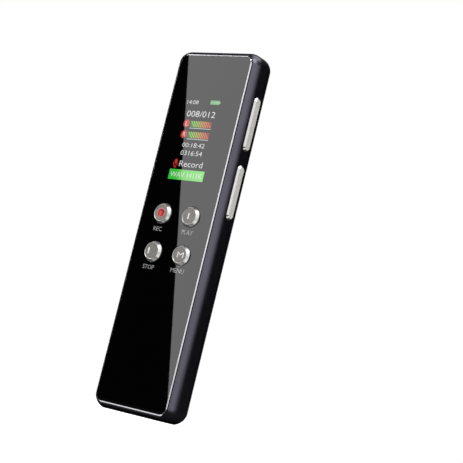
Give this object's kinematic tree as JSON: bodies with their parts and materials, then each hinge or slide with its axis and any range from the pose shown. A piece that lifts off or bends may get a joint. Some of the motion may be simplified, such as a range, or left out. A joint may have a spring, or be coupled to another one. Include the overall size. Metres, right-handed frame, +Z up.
{
  "type": "handheld voice recorder",
  "caption": "Slim bar-shaped pocket voice recorder with a glass front and back in a metal frame, a small screen, round press keys, side rocker keys and a power slide.",
  "frame": {"origin": "the middle of the flat on the bottom end, which the recorder can stand on", "axes": "+Z runs up the length to the end with the microphones, -Y looks out of the screen, +X is the side with the two rocker keys"},
  "size_m": [0.0287, 0.01, 0.1017],
  "materials": {
    "frame_metal": "anodised gunmetal, satin",
    "rim_metal": "diamond-cut bright edge",
    "front_glass": "black-backed gloss glass, clear over the screen",
    "back_glass": "black gloss panel",
    "adhesive": "black foam tape",
    "display": "screen cell, dark when off",
    "black_plastic": "moulded, matte",
    "flex": "amber polyimide",
    "record_red": "red disc, gloss, dished",
    "board": "green solder mask",
    "key_metal": "satin face with a bright turned edge",
    "side_key_metal": "warm satin with a bright bevel",
    "tin": "tinned steel",
    "chip": "moulded package",
    "pouch": "foil pouch",
    "white_plastic": "moulded, matte",
    "tray_plastic": "moulded, matte",
    "lead": "insulated wire",
    "screw": "black-plated steel",
    "rubber": "soft black rubber"
  },
  "bodies": {
    "housing": {"middle_frame": "frame_metal", "front_rim": "rim_metal", "back_rim": "rim_metal", "front_glass": "front_glass", "back_panel": "back_glass", "front_adhesive": "adhesive", "back_adhesive": "adhesive", "battery_tape": "adhesive", "display_panel": "display", "display_backlight": "black_plastic", "display_connector": "black_plastic", "display_flex": "flex", "main_board": "board", "side_switch_board": "board", "front_switches": "tin", "side_switches": "tin", "power_switch_body": "tin", "jack_ring": "rim_metal", "headphone_jack": "black_plastic", "usb_c_shell": "tin", "usb_c_tongue": "black_plastic", "main_processor": "chip", "memory_chip": "chip", "audio_codec": "chip", "clock_crystal": "tin", "shield_can": "tin", "battery": "pouch", "battery_connector": "white_plastic", "inner_tray": "tray_plastic", "battery_leads": "lead", "tray_screws": "screw", "left_microphone": "tin", "right_microphone": "tin", "microphone_boots": "rubber", "speaker": "black_plastic", "speaker_gasket": "rubber", "speaker_mesh": "tin"},
    "record_key": {"record_button": "key_metal", "record_inlay": "record_red", "record_plunger": "black_plastic"},
    "play_key": {"play_button": "key_metal", "play_plunger": "black_plastic"},
    "stop_key": {"stop_button": "key_metal", "stop_plunger": "black_plastic"},
    "menu_key": {"menu_button": "key_metal", "menu_plunger": "black_plastic"},
    "volume_key": {"volume_rocker": "side_key_metal"},
    "skip_key": {"skip_rocker": "side_key_metal"},
    "power_slide": {"power_switch_knob": "side_key_metal"}
  },
  "joints": [
    {"name": "record_press", "type": "slide", "parent": "housing", "child": "record_key", "axis": [0, 1, 0], "range_m": [0, 0.00035], "stiffness_N_per_m": 1500},
    {"name": "play_press", "type": "slide", "parent": "housing", "child": "play_key", "axis": [0, 1, 0], "range_m": [0, 0.00035], "stiffness_N_per_m": 1500},
    {"name": "stop_press", "type": "slide", "parent": "housing", "child": "stop_key", "axis": [0, 1, 0], "range_m": [0, 0.00035], "stiffness_N_per_m": 1500},
    {"name": "menu_press", "type": "slide", "parent": "housing", "child": "menu_key", "axis": [0, 1, 0], "range_m": [0, 0.00035], "stiffness_N_per_m": 1500},
    {"name": "volume_rock", "type": "hinge", "parent": "housing", "child": "volume_key", "pos_m": [0.01265, 0, 0.0823], "axis": [0, 1, 0], "range_deg": [-2, 2], "stiffness_Nm_per_rad": 0.1},
    {"name": "skip_rock", "type": "hinge", "parent": "housing", "child": "skip_key", "pos_m": [0.01265, 0, 0.0632], "axis": [0, 1, 0], "range_deg": [-2, 2], "stiffness_Nm_per_rad": 0.1},
    {"name": "power_slide_travel", "type": "slide", "parent": "housing", "child": "power_slide", "axis": [0, 0, 1], "range_m": [-0.0017, 0]}
  ]
}
